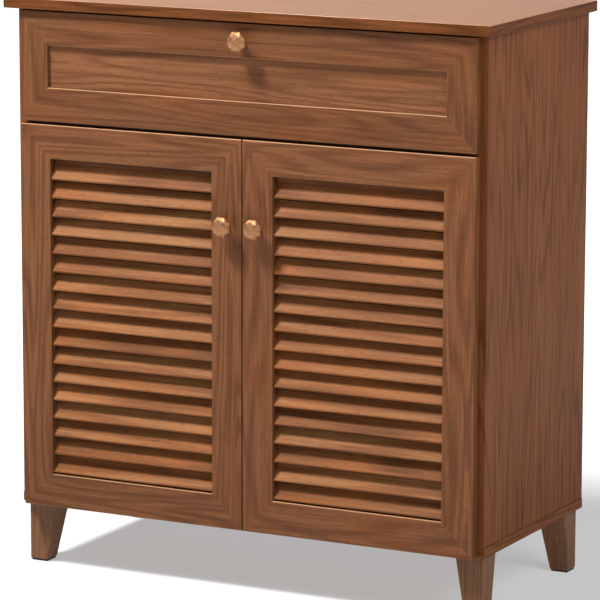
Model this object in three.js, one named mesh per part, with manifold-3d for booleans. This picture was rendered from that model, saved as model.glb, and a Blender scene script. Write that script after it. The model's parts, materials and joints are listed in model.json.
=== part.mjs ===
// Two-door louvred shoe cabinet with one drawer, in millimetres, +Z up.
// The fronts face -Y. The origin is on the floor, under the centre of the whole piece.
import * as THREE from 'three';
import { mergeVertices } from 'three/addons/utils/BufferGeometryUtils.js';
import Module from 'manifold-3d';

const wasm = await Module();
wasm.setup();

// ---- Driving dimensions ----

// Overall
const totalHeight = 870;
const topWidth = 800;
const caseDepth = 356;
const legHeight = 95;

// Boards
const boardThickness = 15;
const topThickness = 16;
const sideOverhang = 13;
const frontOverhang = 7;
const bottomProud = 1;

// Fronts: two doors under one drawer
const frontThickness = 15;
const frontGap = 0.6;
const sideReveal = 11.5;
const meetingGap = 2;
const drawerFrontHeight = 165;
const drawerToDoorGap = 5;
const drawerToTopGap = 3;
const mitreGap = 0.15;

// Door frame and its louvre
const doorStile = 49.5;
const doorTopRail = 51;
const doorBottomRail = 51;
const louvreRebateWidth = 7;
const louvreRebateStart = 6;
const slatCount = 17;
const slatWidth = 28;
const slatThickness = 5;
const slatTilt = THREE.MathUtils.degToRad(30);
const slatSetback = 1.5;
const slatNose = 1.2;
const lowestSlatGap = 1;
const topSlatDrop = 33;
const battenCover = 1;
const battenSpare = 0.2;

// Drawer front frame and its sunk panel
const drawerStile = 46.5;
const drawerRail = 51;
const panelRebateWidth = 7;
const panelSink = 5;

// Back panel
const backThickness = 3;
const backInset = 8;
const grooveDepth = 6;

// Shelves and their pins
const shelfCount = 3;
const shelfSetback = 30;
const shelfSideClearance = 1;
const pinRadius = 2.5;
const pinInWall = 8;
const pinUnderShelf = 9;
const pinFromShelfEnds = 40;

// Drawer box
const runnerSpace = 13;
const drawerWall = 12;
const drawerBoxHeight = 115;
const drawerBoxDepth = 320;
const drawerBoxLift = 8;
const drawerFloorThickness = 4;
const drawerFloorLift = 8;
const drawerFloorGroove = 5;

// Drawer runners
const runnerLength = 300;
const runnerSetback = 10;
const runnerHeight = 36;
const runnerSteel = 1.5;
const channelDepth = 9.5;
const slideHeight = 20;
const slideClearance = 0.5;

// Legs
const legTop = 45;
const legFoot = 29;
const legSideInset = 5;
const legEndInset = 9;

// Knobs, from the face outward
const knobSides = 8;
const knobNeckRadius = 5.5;
const knobBaseRadius = 7;
const knobRadius = 16;
const knobTableRadius = 10;
const knobNeckLength = 9;
const knobRimLength = 3.5;
const knobProjection = 24;
const knobShankRadius = 2;
const knobShankLength = 10;
const doorKnobDrop = 129;

// Concealed hinges
const hingeEndDistance = 85;
const cupRadius = 17.5;
const cupDepth = 11;
const cupWall = 1;
const cupToWall = 1;
const cupFlange = 1.2;
const cupEarHeight = 56;
const cupEarWidth = 14;
const platePadThickness = 3;
const platePadHeight = 48;
const platePadStart = 22;
const platePadLength = 40;
const armWidth = 14;
const armThickness = 12;
const armReach = 28;
const armNoseLength = 5;
const armFrontGap = 1.4;

// Fits
const looseFit = 0.3;
const roundSides = 12;
const cupSides = 24;
const cutMargin = 1;

// ---- Sizes that follow ----

const caseWidth = topWidth - 2 * sideOverhang;
const caseHalf = caseWidth / 2;
const innerHalf = caseHalf - boardThickness;
const topUnderside = totalHeight - topThickness;
const floorTop = legHeight + boardThickness;
const frontRear = -frontGap;
const frontFace = frontRear - frontThickness;
const frontHalf = caseHalf - sideReveal;
const drawerFrontTop = topUnderside - drawerToTopGap;
const drawerFrontBottom = drawerFrontTop - drawerFrontHeight;
const doorTop = drawerFrontBottom - drawerToDoorGap;
const doorBottom = legHeight;
const dividerTop = (doorTop + drawerFrontBottom + boardThickness) / 2;
const dividerBottom = dividerTop - boardThickness;
const backFront = caseDepth - backInset - backThickness;
const doorInner = meetingGap / 2;
const slatDepth = slatWidth * Math.sin(slatTilt) + slatThickness * Math.cos(slatTilt);
const louvreRear = frontFace + slatSetback + slatDepth + battenSpare;
const cupCentre = innerHalf - cupToWall - cupRadius;

// ---- Colours and finishes ----

function finish(hex, roughness, metalness) {
  return () => new THREE.MeshStandardMaterial({ color: hex, roughness, metalness, flatShading: true });
}

const walnutFront = finish(0x855840, 0.5, 0);
const walnutCase = finish(0x7d5239, 0.5, 0);
const walnutTop = finish(0xa87c62, 0.45, 0);
const walnutSlat = finish(0x9c6c4a, 0.5, 0);
const walnutLeg = finish(0x71513a, 0.55, 0);
const innerBoard = finish(0x8a6248, 0.6, 0);
const hardboard = finish(0x6f4c36, 0.75, 0);
const knobMetal = finish(0xa9805a, 0.3, 1);
const steel = finish(0xb4b6b8, 0.35, 1);

// ---- Solid helpers ----

// A box between two corners; each pair of numbers may come in either order.
function box([xa, xb], [ya, yb], [za, zb]) {
  const size = [Math.abs(xb - xa), Math.abs(yb - ya), Math.abs(zb - za)];
  const geometry = new THREE.BoxGeometry(...size);
  return geometry.translate((xa + xb) / 2, (ya + yb) / 2, (za + zb) / 2);
}

// An outline drawn in X and Z, given thickness along Y.
const standUp = new THREE.Matrix4().makeBasis(
  new THREE.Vector3(1, 0, 0),
  new THREE.Vector3(0, 0, 1),
  new THREE.Vector3(0, -1, 0),
);

function slabXZ(points, [ya, yb]) {
  const shape = new THREE.Shape(points.map(([x, z]) => new THREE.Vector2(x, z)));
  const depth = Math.abs(yb - ya);
  const geometry = new THREE.ExtrudeGeometry(shape, { depth, bevelEnabled: false });
  return geometry.applyMatrix4(standUp).translate(0, Math.max(ya, yb), 0);
}

// An outline drawn in Y and Z, run along X.
const runAcross = new THREE.Matrix4().makeBasis(
  new THREE.Vector3(0, 1, 0),
  new THREE.Vector3(0, 0, 1),
  new THREE.Vector3(1, 0, 0),
);

function barYZ(points, [xa, xb]) {
  const shape = new THREE.Shape(points.map(([y, z]) => new THREE.Vector2(y, z)));
  const depth = Math.abs(xb - xa);
  const geometry = new THREE.ExtrudeGeometry(shape, { depth, bevelEnabled: false });
  return geometry.applyMatrix4(runAcross).translate(Math.min(xa, xb), 0, 0);
}

// A profile of [radius, distance] pairs turned about an axis along Y, from low Y to high on its outside.
function turnedAboutY(profile, sides, [x, y, z]) {
  const points = profile.map(([radius, along]) => new THREE.Vector2(radius, along));
  const geometry = new THREE.LatheGeometry(points, sides, Math.PI / sides);
  return geometry.translate(x, y, z);
}

function toSolid(geometry) {
  const bare = geometry.clone();
  bare.deleteAttribute('normal');
  bare.deleteAttribute('uv');
  const merged = mergeVertices(bare);
  const mesh = new wasm.Mesh({
    numProp: 3,
    vertProperties: merged.attributes.position.array,
    triVerts: new Uint32Array(merged.index.array),
  });
  return new wasm.Manifold(mesh);
}

function toGeometry(solid) {
  const mesh = solid.getMesh();
  const geometry = new THREE.BufferGeometry();
  geometry.setAttribute('position', new THREE.BufferAttribute(mesh.vertProperties, 3));
  geometry.setIndex(new THREE.BufferAttribute(mesh.triVerts, 1));
  return geometry;
}

function cut(geometry, tools) {
  const solid = tools.reduce((rest, tool) => rest.subtract(toSolid(tool)), toSolid(geometry));
  return toGeometry(solid);
}

function join(geometries) {
  const solids = geometries.map(toSolid);
  return toGeometry(solids.reduce((whole, piece) => whole.add(piece)));
}

function addPart(group, name, geometry, material) {
  const mesh = new THREE.Mesh(geometry, material());
  mesh.name = name;
  group.add(mesh);
}

const sides = [['left', -1], ['right', 1]];

// ---- Case ----

// The slot that the back panel's edge stands in, past the edge by the groove depth.
const backSlot = [backFront - looseFit / 2, backFront + backThickness + looseFit / 2];

function pinPlaces() {
  const pitch = (dividerBottom - floorTop + boardThickness) / (shelfCount + 1);
  const front = shelfSetback + pinFromShelfEnds;
  const rear = backFront - pinFromShelfEnds;
  const places = [];
  for (let shelf = 0; shelf < shelfCount; shelf += 1) {
    const shelfBottom = floorTop + (shelf + 1) * pitch - boardThickness;
    places.push({ shelfBottom, pinZ: shelfBottom - pinRadius, front, rear });
  }
  return places;
}

function roundAlongX(radius, [xa, xb], y, z) {
  const geometry = new THREE.CylinderGeometry(radius, radius, Math.abs(xb - xa), roundSides);
  return geometry.rotateZ(Math.PI / 2).translate((xa + xb) / 2, y, z);
}

function addTopAndBottom(group) {
  const top = box(
    [-topWidth / 2, topWidth / 2],
    [frontFace - frontOverhang, caseDepth],
    [topUnderside, totalHeight],
  );
  const slotWidth = innerHalf + grooveDepth;
  const slotX = [-slotWidth, slotWidth];
  const topSlot = box(slotX, backSlot, [topUnderside - cutMargin, topUnderside + grooveDepth]);
  addPart(group, 'top_panel', cut(top, [topSlot]), walnutTop);

  const bottomHalf = caseHalf + bottomProud;
  const bottom = box([-bottomHalf, bottomHalf], [0, caseDepth], [legHeight, floorTop]);
  const bottomSlot = box(slotX, backSlot, [floorTop - grooveDepth, floorTop + cutMargin]);
  addPart(group, 'bottom_panel', cut(bottom, [bottomSlot]), walnutCase);
}

function addSidePanels(group) {
  for (const [side, sign] of sides) {
    const panel = box([sign * innerHalf, sign * caseHalf], [0, caseDepth], [floorTop, topUnderside]);
    const slot = box(
      [sign * (innerHalf - cutMargin), sign * (innerHalf + grooveDepth)],
      backSlot,
      [floorTop - cutMargin, topUnderside + cutMargin],
    );
    const holeDepth = [sign * (innerHalf - cutMargin), sign * (innerHalf + pinInWall + looseFit)];
    const holes = pinPlaces().flatMap(({ pinZ, front, rear }) => [front, rear].map(
      (y) => roundAlongX(pinRadius + looseFit, holeDepth, y, pinZ),
    ));
    addPart(group, `${side}_side_panel`, cut(panel, [slot, ...holes]), walnutCase);
  }
}

function addBackPanel(group) {
  const half = innerHalf + grooveDepth - looseFit;
  const height = [floorTop - grooveDepth + looseFit, topUnderside + grooveDepth - looseFit];
  const panel = box([-half, half], [backFront, backFront + backThickness], height);
  addPart(group, 'back_panel', panel, hardboard);
}

function addDivider(group) {
  const divider = box([-innerHalf, innerHalf], [0, backFront - looseFit], [dividerBottom, dividerTop]);
  addPart(group, 'drawer_divider', divider, innerBoard);
}

function addShelves(group) {
  const half = innerHalf - shelfSideClearance;
  pinPlaces().forEach(({ shelfBottom, pinZ, front, rear }, index) => {
    const shelf = `shelf_${index + 1}`;
    const depth = [shelfSetback, backFront - shelfSideClearance];
    addPart(group, shelf, box([-half, half], depth, [shelfBottom, shelfBottom + boardThickness]), innerBoard);
    for (const [side, sign] of sides) {
      const length = [sign * (innerHalf + pinInWall), sign * (innerHalf - pinUnderShelf)];
      addPart(group, `${shelf}_pin_${side}_front`, roundAlongX(pinRadius, length, front, pinZ), steel);
      addPart(group, `${shelf}_pin_${side}_rear`, roundAlongX(pinRadius, length, rear, pinZ), steel);
    }
  });
}

// A leg keeps its two outer faces upright; the two inner faces slope in towards the foot.
function leg(xSign, ySign) {
  const geometry = new THREE.BoxGeometry(legTop, legTop, legHeight);
  const position = geometry.attributes.position;
  const shrink = legTop - legFoot;
  for (let i = 0; i < position.count; i += 1) {
    const atFoot = position.getZ(i) < 0;
    const innerX = Math.sign(position.getX(i)) === -xSign;
    const innerY = Math.sign(position.getY(i)) === -ySign;
    if (atFoot && innerX) position.setX(i, position.getX(i) + xSign * shrink);
    if (atFoot && innerY) position.setY(i, position.getY(i) + ySign * shrink);
  }
  return geometry;
}

function addLegs(group) {
  const x = caseHalf - legSideInset - legTop / 2;
  const frontY = legEndInset + legTop / 2;
  const ends = [['front', -1, frontY], ['rear', 1, caseDepth - frontY]];
  for (const [end, ySign, y] of ends) {
    for (const [side, xSign] of sides) {
      const geometry = leg(xSign, ySign).translate(xSign * x, y, legHeight / 2);
      addPart(group, `${end}_${side}_leg`, geometry, walnutLeg);
    }
  }
}

// ---- Framed fronts ----

// Four mitred members around an opening. The stiles stop a glue line short of the rails.
function frameMembers(outer, inner) {
  const glue = mitreGap;
  return {
    top_rail: [[outer.x0, outer.z1], [inner.x0, inner.z1], [inner.x1, inner.z1], [outer.x1, outer.z1]],
    bottom_rail: [[outer.x0, outer.z0], [outer.x1, outer.z0], [inner.x1, inner.z0], [inner.x0, inner.z0]],
    left_stile: [
      [outer.x0, outer.z0 + glue], [inner.x0, inner.z0 + glue],
      [inner.x0, inner.z1 - glue], [outer.x0, outer.z1 - glue],
    ],
    right_stile: [
      [outer.x1, outer.z0 + glue], [outer.x1, outer.z1 - glue],
      [inner.x1, inner.z1 - glue], [inner.x1, inner.z0 + glue],
    ],
  };
}

function grown(rect, by) {
  return { x0: rect.x0 - by, x1: rect.x1 + by, z0: rect.z0 - by, z1: rect.z1 + by };
}

// The rebate runs round the back of the opening, from a given distance behind the face.
function rebate(inner, width, start) {
  const rim = grown(inner, width);
  return box([rim.x0, rim.x1], [frontFace + start, frontRear + cutMargin], [rim.z0, rim.z1]);
}

// A faceted knob: a small flat table, a bevel down to a wide rim, a neck, and a shank in the front.
function knob(x, z) {
  const rimStart = knobNeckLength + (knobRadius - knobNeckRadius) / 2;
  const profile = [
    [0, -knobProjection],
    [knobTableRadius, -knobProjection],
    [knobRadius, -rimStart - knobRimLength],
    [knobRadius, -rimStart],
    [knobNeckRadius, -knobNeckLength],
    [knobNeckRadius, -knobNeckLength / 2],
    [knobBaseRadius, 0],
    [knobShankRadius, 0],
    [knobShankRadius, knobShankLength],
    [0, knobShankLength],
  ];
  return turnedAboutY(profile, knobSides, [x, frontFace, z]);
}

function knobHole(x, z) {
  const radius = knobShankRadius + looseFit;
  const depth = knobShankLength + looseFit;
  const profile = [[0, -cutMargin], [radius, -cutMargin], [radius, depth], [0, depth]];
  return turnedAboutY(profile, knobSides, [x, frontFace, z]);
}

// ---- Drawer ----

function addDrawerFront(group) {
  const outer = { x0: -frontHalf, x1: frontHalf, z0: drawerFrontBottom, z1: drawerFrontTop };
  const inner = {
    x0: outer.x0 + drawerStile,
    x1: outer.x1 - drawerStile,
    z0: outer.z0 + drawerRail,
    z1: outer.z1 - drawerRail,
  };
  const knobZ = (outer.z1 + inner.z1) / 2;
  for (const [member, outline] of Object.entries(frameMembers(outer, inner))) {
    const cuts = [rebate(inner, panelRebateWidth, panelSink)];
    if (member === 'top_rail') cuts.push(knobHole(0, knobZ));
    const solid = cut(slabXZ(outline, [frontFace, frontRear]), cuts);
    addPart(group, `drawer_${member}`, solid, walnutFront);
  }
  const rim = grown(inner, panelRebateWidth - looseFit);
  const panel = box([rim.x0, rim.x1], [frontFace + panelSink, frontRear], [rim.z0, rim.z1]);
  addPart(group, 'drawer_front_panel', panel, walnutFront);
  addPart(group, 'drawer_knob', knob(0, knobZ), knobMetal);
}

function addDrawerBox(group) {
  const outerHalf = innerHalf - runnerSpace;
  const wallInner = outerHalf - drawerWall;
  const bottom = dividerTop + drawerBoxLift;
  const top = bottom + drawerBoxHeight;
  const floorBottom = bottom + drawerFloorLift;
  const rear = frontRear + drawerBoxDepth;
  const grooveZ = [floorBottom - looseFit / 2, floorBottom + drawerFloorThickness + looseFit / 2];
  for (const [side, sign] of sides) {
    const wall = box([sign * wallInner, sign * outerHalf], [frontRear, rear], [bottom, top]);
    const groove = box(
      [sign * (wallInner - cutMargin), sign * (wallInner + drawerFloorGroove)],
      [frontRear - cutMargin, rear + cutMargin],
      grooveZ,
    );
    addPart(group, `drawer_${side}_side`, cut(wall, [groove]), innerBoard);
  }
  const backBottom = floorBottom + drawerFloorThickness + looseFit;
  const back = box([-wallInner, wallInner], [rear - drawerWall, rear], [backBottom, top]);
  addPart(group, 'drawer_back', back, innerBoard);
  const floorHalf = wallInner + drawerFloorGroove - looseFit;
  const floor = box(
    [-floorHalf, floorHalf],
    [frontRear + looseFit, rear],
    [floorBottom, floorBottom + drawerFloorThickness],
  );
  addPart(group, 'drawer_floor', floor, hardboard);
  return { outerHalf, runnerZ: (bottom + top) / 2 };
}

// ---- Runners ----

const runnerRun = [runnerSetback, runnerSetback + runnerLength];

function addCaseRunners(group, runnerZ) {
  for (const [side, sign] of sides) {
    const wall = innerHalf;
    const lip = innerHalf - channelDepth;
    const web = innerHalf - runnerSteel;
    const half = runnerHeight / 2;
    const inside = half - runnerSteel;
    const outline = [
      [sign * wall, runnerZ - half],
      [sign * lip, runnerZ - half],
      [sign * lip, runnerZ - inside],
      [sign * web, runnerZ - inside],
      [sign * web, runnerZ + inside],
      [sign * lip, runnerZ + inside],
      [sign * lip, runnerZ + half],
      [sign * wall, runnerZ + half],
    ];
    addPart(group, `${side}_case_runner`, slabXZ(outline, runnerRun), steel);
  }
}

function addDrawerRunners(group, { outerHalf, runnerZ }) {
  for (const [side, sign] of sides) {
    const plate = outerHalf + runnerSteel;
    const tongue = innerHalf - runnerSteel - slideClearance;
    const plateHalf = runnerHeight / 2 - runnerSteel;
    const tongueHalf = slideHeight / 2;
    const outline = [
      [sign * outerHalf, runnerZ - plateHalf],
      [sign * plate, runnerZ - plateHalf],
      [sign * plate, runnerZ - tongueHalf],
      [sign * tongue, runnerZ - tongueHalf],
      [sign * tongue, runnerZ + tongueHalf],
      [sign * plate, runnerZ + tongueHalf],
      [sign * plate, runnerZ + plateHalf],
      [sign * outerHalf, runnerZ + plateHalf],
    ];
    addPart(group, `${side}_drawer_runner`, slabXZ(outline, runnerRun), steel);
  }
}

// ---- Doors ----

// One slat's section: a flat strip leaning back from its low front edge, with an eased nose.
function slatOutline(noseZ) {
  const up = [Math.sin(slatTilt), Math.cos(slatTilt)];
  const across = [Math.cos(slatTilt), -Math.sin(slatTilt)];
  const start = [frontFace + slatSetback, noseZ + slatThickness * Math.sin(slatTilt)];
  const at = (along, through) => [
    start[0] + along * up[0] + through * across[0],
    start[1] + along * up[1] + through * across[1],
  ];
  return [
    at(slatNose, 0),
    at(0, slatNose),
    at(0, slatThickness - slatNose),
    at(slatNose, slatThickness),
    at(slatWidth, slatThickness),
    at(slatWidth, 0),
  ];
}

// Slats and the two battens that hold their ends, in the rebate behind the door frame.
function louvre(inner) {
  const rim = grown(inner, louvreRebateWidth - looseFit);
  const battenDepth = [frontFace + louvreRebateStart + looseFit, louvreRear];
  const battens = [
    box([rim.x0, inner.x0 + battenCover], battenDepth, [rim.z0, rim.z1]),
    box([inner.x1 - battenCover, rim.x1], battenDepth, [rim.z0, rim.z1]),
  ];
  const lowestNose = inner.z0 + lowestSlatGap;
  const pitch = (inner.z1 - topSlatDrop - lowestNose) / (slatCount - 1);
  const slats = [];
  for (let i = 0; i < slatCount; i += 1) {
    const outline = slatOutline(lowestNose + i * pitch);
    slats.push(barYZ(outline, [inner.x0 + looseFit, inner.x1 - looseFit]));
  }
  return join([...battens, ...slats]);
}

function cupBore(x, z) {
  const radius = cupRadius + looseFit;
  const depth = cupDepth + looseFit;
  const profile = [[0, -depth], [radius, -depth], [radius, cutMargin], [0, cutMargin]];
  return turnedAboutY(profile, cupSides, [x, frontRear, z]);
}

// An open cup let into the back of the stile, with a flange and two screw ears on the surface.
function hingeCup(x, z) {
  const inner = cupRadius - cupWall;
  const profile = [
    [0, -cupDepth],
    [cupRadius, -cupDepth],
    [cupRadius, cupFlange],
    [inner, cupFlange],
    [inner, -cupDepth + cupWall],
    [0, -cupDepth + cupWall],
  ];
  const cup = turnedAboutY(profile, cupSides, [x, frontRear, z]);
  const earX = [x - cupEarWidth / 2, x + cupEarWidth / 2];
  const earY = [frontRear, frontRear + cupFlange];
  const reach = cupEarHeight / 2;
  const overlap = inner + cupWall / 2;
  const upper = box(earX, earY, [z + overlap, z + reach]);
  const lower = box(earX, earY, [z - reach, z - overlap]);
  return join([cup, upper, lower]);
}

const hingeHeights = [['lower', doorBottom + hingeEndDistance], ['upper', doorTop - hingeEndDistance]];

function addDoor(group, side, sign) {
  const edges = [sign * doorInner, sign * frontHalf].sort((a, b) => a - b);
  const outer = { x0: edges[0], x1: edges[1], z0: doorBottom, z1: doorTop };
  const inner = {
    x0: outer.x0 + doorStile,
    x1: outer.x1 - doorStile,
    z0: outer.z0 + doorBottomRail,
    z1: outer.z1 - doorTopRail,
  };
  const knobX = sign * (doorInner + doorStile / 2);
  const knobZ = doorTop - doorKnobDrop;
  const cupX = sign * cupCentre;
  const outerStile = `${side}_stile`;
  for (const [member, outline] of Object.entries(frameMembers(outer, inner))) {
    const cuts = [rebate(inner, louvreRebateWidth, louvreRebateStart)];
    if (member === outerStile) cuts.push(...hingeHeights.map(([, z]) => cupBore(cupX, z)));
    if (member.endsWith('stile') && member !== outerStile) cuts.push(knobHole(knobX, knobZ));
    const solid = cut(slabXZ(outline, [frontFace, frontRear]), cuts);
    addPart(group, `${side}_door_${member}`, solid, walnutFront);
  }
  addPart(group, `${side}_door_louvre`, louvre(inner), walnutSlat);
  addPart(group, `${side}_door_knob`, knob(knobX, knobZ), knobMetal);
  for (const [level, z] of hingeHeights) {
    addPart(group, `${side}_door_${level}_hinge_cup`, hingeCup(cupX, z), steel);
  }
}

// The fixed half of a hinge: a pad on the side panel and an arm that reaches to the cup.
function addHingeArms(group) {
  for (const [side, sign] of sides) {
    for (const [level, z] of hingeHeights) {
      const wall = sign * innerHalf;
      const padFace = sign * (innerHalf - platePadThickness);
      const armFace = sign * (innerHalf - armThickness);
      const noseFace = sign * (innerHalf - armReach);
      const armZ = [z - armWidth / 2, z + armWidth / 2];
      const armRear = platePadStart + platePadLength;
      const pad = box(
        [wall, padFace],
        [platePadStart, armRear],
        [z - platePadHeight / 2, z + platePadHeight / 2],
      );
      const armStart = sign * (innerHalf - platePadThickness / 2);
      const arm = box([armStart, armFace], [armFrontGap, armRear - cutMargin], armZ);
      const nose = box([armStart, noseFace], [armFrontGap, armFrontGap + armNoseLength], armZ);
      addPart(group, `${side}_${level}_hinge_arm`, join([pad, arm, nose]), steel);
    }
  }
}

// ---- Assembly ----

const cabinet = new THREE.Group();
const carcass = new THREE.Group();
const drawer = new THREE.Group();
const doors = sides.map(() => new THREE.Group());
cabinet.add(carcass, drawer, ...doors);

addTopAndBottom(carcass);
addSidePanels(carcass);
addBackPanel(carcass);
addDivider(carcass);
addShelves(carcass);
addLegs(carcass);
addHingeArms(carcass);

addDrawerFront(drawer);
const boxPlace = addDrawerBox(drawer);
addDrawerRunners(drawer, boxPlace);
addCaseRunners(carcass, boxPlace.runnerZ);

sides.forEach(([side, sign], index) => addDoor(doors[index], side, sign));

// The knobs reach furthest forward and the case's rear edge furthest back.
cabinet.position.y = -(frontFace - knobProjection + caseDepth) / 2;

export default cabinet;
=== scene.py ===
# %% [markdown]
# # A louvred shoe cabinet, dressed from its CAD frame
#
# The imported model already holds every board, leg, runner and hinge at its true size and place, and it
# knows how the doors turn and the drawer slides. Here each of them gets what a drawing leaves out:
# eased edges, wood-print foil with its grain laid the right way, slats, screws and metal.
# All lengths are in metres, in the same frame as the CAD, with the fronts facing -Y.

# %% Load the frame
import json
import math
import random

import bmesh
import bpy
from mathutils import Matrix, Vector


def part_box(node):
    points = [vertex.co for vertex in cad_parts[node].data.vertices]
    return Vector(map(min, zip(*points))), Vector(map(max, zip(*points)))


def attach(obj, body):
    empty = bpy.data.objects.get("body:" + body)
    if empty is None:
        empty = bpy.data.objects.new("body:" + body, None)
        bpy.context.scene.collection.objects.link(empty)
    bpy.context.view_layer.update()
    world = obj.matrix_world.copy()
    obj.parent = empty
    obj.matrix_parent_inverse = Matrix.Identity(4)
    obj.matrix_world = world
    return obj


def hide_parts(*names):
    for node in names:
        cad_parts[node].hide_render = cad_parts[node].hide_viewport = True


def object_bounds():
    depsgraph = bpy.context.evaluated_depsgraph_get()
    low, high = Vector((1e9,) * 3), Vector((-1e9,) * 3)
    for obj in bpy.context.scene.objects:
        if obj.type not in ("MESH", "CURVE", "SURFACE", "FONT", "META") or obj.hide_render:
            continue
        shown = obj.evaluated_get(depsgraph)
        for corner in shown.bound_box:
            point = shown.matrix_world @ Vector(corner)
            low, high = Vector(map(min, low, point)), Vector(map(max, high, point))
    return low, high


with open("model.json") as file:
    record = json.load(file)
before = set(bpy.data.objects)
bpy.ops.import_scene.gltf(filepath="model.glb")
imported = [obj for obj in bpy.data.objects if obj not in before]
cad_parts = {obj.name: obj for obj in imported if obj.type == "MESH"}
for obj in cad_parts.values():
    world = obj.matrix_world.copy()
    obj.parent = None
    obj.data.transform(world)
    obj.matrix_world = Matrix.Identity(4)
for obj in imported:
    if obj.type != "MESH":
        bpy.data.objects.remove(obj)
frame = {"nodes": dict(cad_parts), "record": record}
nodes = frame["nodes"]
cad_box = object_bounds()
body_of_node = {n: b for b, members in frame["record"]["behaviour"]["bodies"].items() for n in members}
MM = 0.001
print("box in mm:", [round(v / MM, 1) for corner in cad_box for v in corner])

# %% [markdown]
# ## Two small helpers
#
# Colours are easiest to pick as hex values, the way paint charts give them, but Blender's sockets want
# linear light, so one function converts them. Node trees, whether they make a material or geometry, are
# all built the same way: add a node, change its settings, and either link or fill in its inputs.


# %% Colour and node helpers
def linear(hex_code):
    values = [int(hex_code[i:i + 2], 16) / 255 for i in (1, 3, 5)]
    return [v / 12.92 if v <= 0.04045 else ((v + 0.055) / 1.055) ** 2.4 for v in values] + [1.0]


def add(tree, kind, inputs=None, **settings):
    """Adds one node; inputs maps a socket's name or number to a value or to another node's output."""
    node = tree.nodes.new(kind)
    for key, value in settings.items():
        setattr(node, key, value)
    for key, value in (inputs or {}).items():
        socket = node.inputs[key]
        if isinstance(value, bpy.types.NodeSocket):
            tree.links.new(value, socket)
        else:
            socket.default_value = value
    return node


# %% [markdown]
# ## Walnut foil
#
# The boards are chipboard and fibreboard wrapped in melamine foil with a walnut print. A printed foil
# has the figure of wood, but an even satin sheen and hardly any relief. An image of wood would be one
# way to make it. Noise is better here, because it never repeats and can follow each board's own
# direction: every piece carries a "grain" attribute, which says for each point how far it is along,
# across and through the board, so one material serves level rails and upright stiles alike.
#
# Several patterns are laid over each other. Smooth noise, stretched along the board and cut into
# contour lines, gives growth rings with long arches. Finer noises, also stretched along the board, give
# fibres, streaks and broad bands. Short dark dashes are the pores. A slow noise drifts the colour
# towards a warmer brown. The eased edges get a painted highlight: a paler colour, strongest where
# they face up to the light.


# %% Walnut foil material
FIGURE_MM = 46


def walnut_foil(name, dark, middle, light, warm, ring_mm=9.0, fibre_mm=2.6, contrast=1.0, rough=0.5,
                gloss=0.22, highlight_colour="#b98a66", edge_highlight=0.5, thin=2.0):
    material = bpy.data.materials.new(name)
    material.use_nodes = True
    tree = material.node_tree
    shader = tree.nodes["Principled BSDF"]
    grain = add(tree, "ShaderNodeAttribute", attribute_name="grain").outputs["Vector"]
    tone = add(tree, "ShaderNodeAttribute", attribute_name="tone").outputs["Fac"]
    eased = add(tree, "ShaderNodeAttribute", attribute_name="eased").outputs["Fac"]

    def stretched(along_mm, across_mm, detail=2.0, roughness=0.5):
        scale = (1 / (along_mm * MM), 1 / (across_mm * MM), 1 / (across_mm * MM))
        place = add(tree, "ShaderNodeMapping", {"Vector": grain, "Scale": scale})
        noise = add(tree, "ShaderNodeTexNoise", {
            "Vector": place.outputs[0], "Scale": 1.0, "Detail": detail, "Roughness": roughness})
        return noise.outputs["Fac"]

    def ramp(factor, stops):
        node = add(tree, "ShaderNodeValToRGB", {"Fac": factor})
        while len(node.color_ramp.elements) < len(stops):
            node.color_ramp.elements.new(0.5)
        for element, (position, colour) in zip(node.color_ramp.elements, stops):
            element.position = position
            element.color = linear(colour)
        return node.outputs["Color"]

    def mixed(factor, first, second, blend="MIX"):
        return add(tree, "ShaderNodeMix", {"Factor": factor, 6: first, 7: second},
                   data_type="RGBA", blend_type=blend).outputs[2]

    def maths(operation, *values):
        return add(tree, "ShaderNodeMath", dict(enumerate(values)), operation=operation).outputs[0]

    figure = stretched(620, FIGURE_MM, detail=1.5, roughness=0.4)
    rings = maths("SINE", maths("MULTIPLY", figure, 5 * math.pi * FIGURE_MM / ring_mm))
    rings = maths("POWER", maths("MULTIPLY_ADD", rings, 0.5, 0.5), thin)
    fibres = stretched(75, fibre_mm, detail=3.0, roughness=0.6)
    streaks = stretched(260, 5)
    bands = stretched(420, 18, detail=1.0)
    shade = maths("ADD", tone, 0.5)
    ring_average = 1 / math.sqrt(math.pi * thin)
    shares = ((rings, ring_average, -0.2), (fibres, 0.5, 0.4), (streaks, 0.5, 0.36), (bands, 0.5, 0.16))
    for pattern, usual, share in shares:
        share *= contrast
        shade = maths("ADD", shade, maths("MULTIPLY_ADD", pattern, share, -usual * share))
    wood = ramp(shade, [(0.24, dark), (0.5, middle), (0.78, light)])
    drift = stretched(130, 38, detail=1.0)
    orange = maths("MULTIPLY", maths("SUBTRACT", drift, 0.42), 1.7)
    orange = add(tree, "ShaderNodeClamp", {"Value": orange}).outputs[0]
    wood = mixed(maths("MULTIPLY", orange, 0.55), wood, linear(warm))
    pores = stretched(16, 1.5, detail=1.0)
    pore_depth = add(tree, "ShaderNodeMapRange", {
        "Value": pores, "From Min": 0.60, "From Max": 0.70, "To Min": 0.0, "To Max": 0.45}).outputs[0]
    wood = mixed(pore_depth, wood, linear(dark))
    # Painted highlight: the eased edges are mixed towards a paler colour, most where they face up to the
    # light.
    wood = mixed(maths("MULTIPLY", eased, edge_highlight), wood, linear(highlight_colour))

    tree.links.new(wood, shader.inputs["Base Color"])
    sheen = maths("MULTIPLY_ADD", fibres, 0.14, rough - 0.07)
    sheen = maths("MULTIPLY_ADD", eased, -0.12, sheen)
    tree.links.new(sheen, shader.inputs["Roughness"])
    relief = maths("SUBTRACT", fibres, maths("MULTIPLY", pore_depth, 0.8))
    bump = add(tree, "ShaderNodeBump", {"Height": relief, "Strength": 0.35, "Distance": 0.12 * MM})
    tree.links.new(bump.outputs[0], shader.inputs["Normal"])
    shader.inputs["IOR"].default_value = 1.5
    shader.inputs["Specular IOR Level"].default_value = gloss
    return material
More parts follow.
